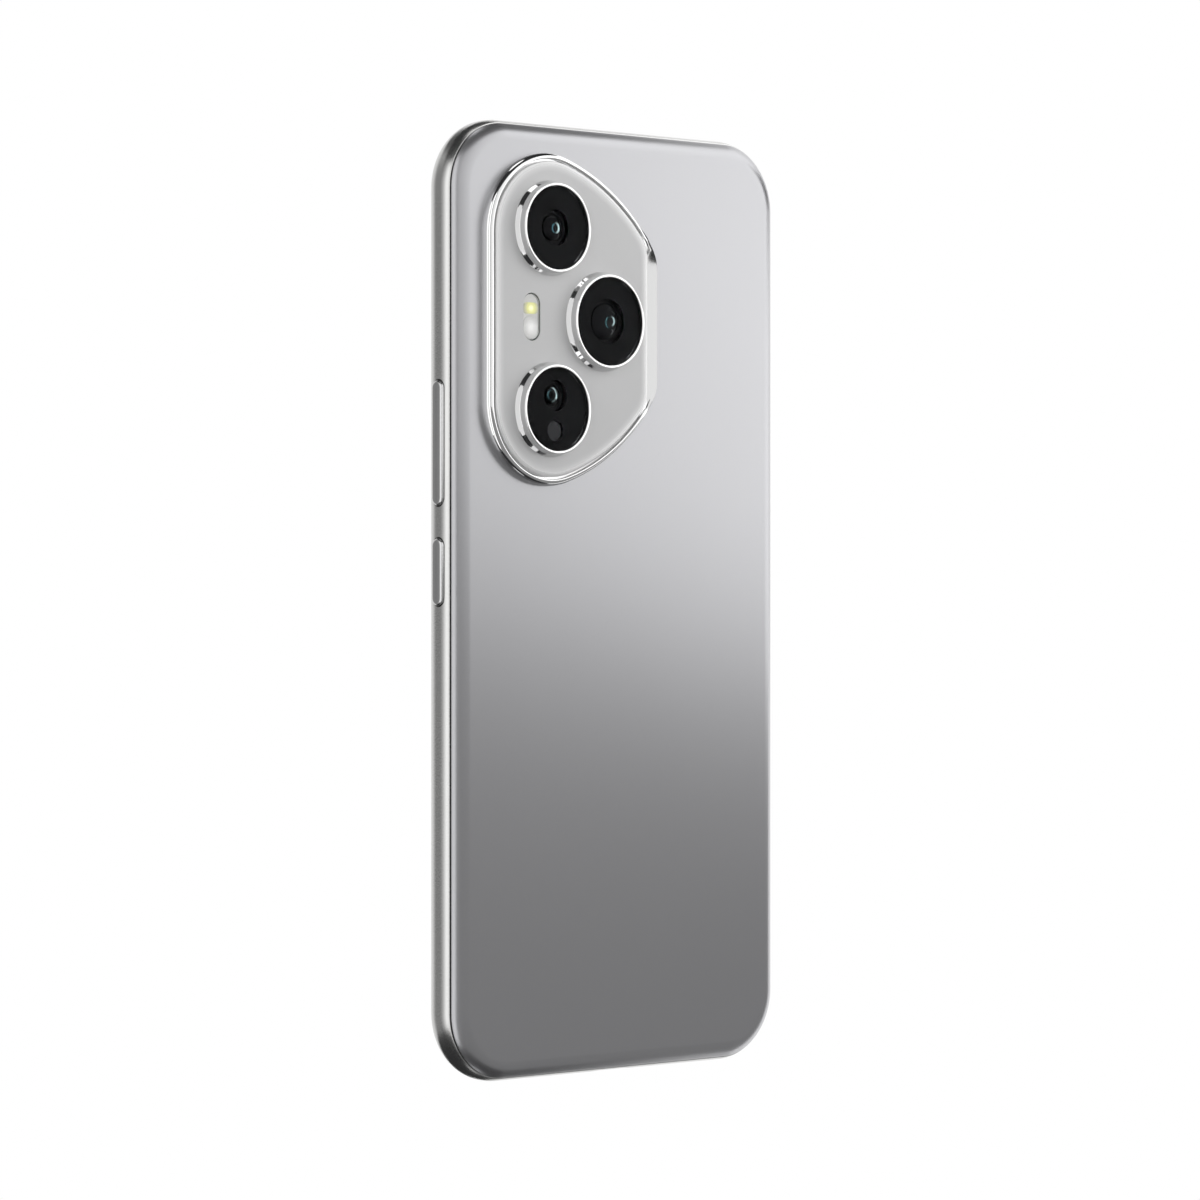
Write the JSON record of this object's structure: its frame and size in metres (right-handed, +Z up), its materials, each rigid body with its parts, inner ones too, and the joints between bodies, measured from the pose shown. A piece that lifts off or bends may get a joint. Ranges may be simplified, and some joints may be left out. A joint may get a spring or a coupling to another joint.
{
  "type": "smartphone",
  "caption": "Slab phone with a rounded metal frame, satin glass back, raised camera island with ringed lenses, side keys that press and a card tray that slides out.",
  "frame": {"origin": "centre of the charging receptacle's mouth, in the middle of the bottom edge and of the body's thickness", "axes": "+Z up the phone's long side, -Y out of the screen, +Y out of the back with the cameras, +X out of the side with the keys"},
  "size_m": [0.0765, 0.0122, 0.1608],
  "materials": {
    "frame_metal": "satin, fine bead-blasted",
    "key_metal": "satin with polished ends",
    "inner_plate_metal": "bare cast",
    "rear_glass": "satin, silver-grey, opaque from behind",
    "front_glass": "polished, clear",
    "display": "black, switched off",
    "seal_black": "matt adhesive foam",
    "flex_film": "amber film",
    "sensor_black": "matt",
    "trim_polished": "polished",
    "island_satin": "satin",
    "lens_glass": "polished, black printed behind",
    "can_metal": "stamped sheet",
    "lens_barrel": "matt black, ribbed",
    "flash_window": "frosted lens",
    "led_warm": "phosphor",
    "led_white": "diffuser",
    "board_green": "solder mask",
    "module_black": "moulded",
    "mesh_dark": "fine woven",
    "plated_steel": "plated",
    "battery_wrap": "black wrap",
    "copper": "bare copper",
    "ferrite": "ferrite sheet",
    "heavy_mass": "sintered"
  },
  "bodies": {
    "phone": {"mid_frame": "frame_metal", "chassis_plate": "inner_plate_metal", "rear_cover_glass": "rear_glass", "rear_gasket": "seal_black", "front_cover_glass": "front_glass", "front_gasket": "seal_black", "display_panel": "display", "display_flex": "flex_film", "fingerprint_sensor": "sensor_black", "camera_trim": "trim_polished", "camera_plate": "island_satin", "lens_ring_upper": "trim_polished", "lens_ring_main": "trim_polished", "lens_ring_lower": "trim_polished", "lens_glass_upper": "lens_glass", "lens_glass_main": "lens_glass", "lens_glass_lower": "lens_glass", "camera_housing_upper": "can_metal", "camera_housing_main": "can_metal", "camera_housing_lower": "can_metal", "light_sensor": "sensor_black", "flash_lens": "flash_window", "flash_led_warm": "led_warm", "flash_led_white": "led_white", "flash_board": "board_green", "front_camera": "sensor_black", "earpiece": "module_black", "earpiece_mesh": "mesh_dark", "loudspeaker": "module_black", "speaker_mesh": "mesh_dark", "microphones": "plated_steel", "receptacle_shell": "plated_steel", "receptacle_tongue": "module_black", "main_board": "board_green", "shield_can_large": "can_metal", "shield_can_small": "can_metal", "board_cover": "module_black", "sub_board": "board_green", "main_flex": "flex_film", "battery": "battery_wrap", "battery_tail": "flex_film", "charge_coil": "copper", "coil_shield": "ferrite", "heat_spreader": "copper", "motor_housing": "can_metal", "motor_lid": "can_metal", "key_domes": "plated_steel", "key_board": "flex_film", "key_bracket": "can_metal", "sim_cage": "can_metal", "board_screws": "plated_steel"},
    "volume_rocker": {"volume_rocker": "key_metal"},
    "power_key": {"power_key": "key_metal"},
    "tray": {"sim_tray": "frame_metal", "sim_tray_gasket": "seal_black"},
    "ejector": {"sim_ejector": "can_metal"},
    "focus_upper": {"carrier_upper": "lens_barrel"},
    "focus_main": {"carrier_main": "lens_barrel"},
    "focus_lower": {"carrier_lower": "lens_barrel"},
    "motor_mass": {"motor_mass": "heavy_mass"}
  },
  "joints": [
    {"name": "volume_rock", "type": "hinge", "parent": "phone", "child": "volume_rocker", "pos_m": [0.0361, 0, 0.1065], "axis": [0, 1, 0], "range_deg": [-1.4, 1.4], "stiffness_Nm_per_rad": 0.4},
    {"name": "power_press", "type": "slide", "parent": "phone", "child": "power_key", "axis": [-1, 0, 0], "range_m": [0, 0.0003], "stiffness_N_per_m": 4000},
    {"name": "tray_slide", "type": "slide", "parent": "phone", "child": "tray", "axis": [-1, 0, 0], "range_m": [0, 0.0135]},
    {"name": "ejector_turn", "type": "hinge", "parent": "phone", "child": "ejector", "pos_m": [-0.01945, 0, 0.1229], "axis": [0, 1, 0], "range_deg": [0, 9.1]},
    {"name": "focus_upper_slide", "type": "slide", "parent": "phone", "child": "focus_upper", "axis": [0, 1, 0], "range_m": [0, 0.0003], "stiffness_N_per_m": 400},
    {"name": "focus_main_slide", "type": "slide", "parent": "phone", "child": "focus_main", "axis": [0, 1, 0], "range_m": [0, 0.0003], "stiffness_N_per_m": 400},
    {"name": "focus_lower_slide", "type": "slide", "parent": "phone", "child": "focus_lower", "axis": [0, 1, 0], "range_m": [0, 0.0003], "stiffness_N_per_m": 400},
    {"name": "motor_shake", "type": "slide", "parent": "phone", "child": "motor_mass", "axis": [1, 0, 0], "range_m": [-0.0005, 0.0005], "stiffness_N_per_m": 2500}
  ],
  "couplings": [
    {"joint": "ejector_turn", "follows": "tray_slide", "rad_per_m": 11.636}
  ]
}
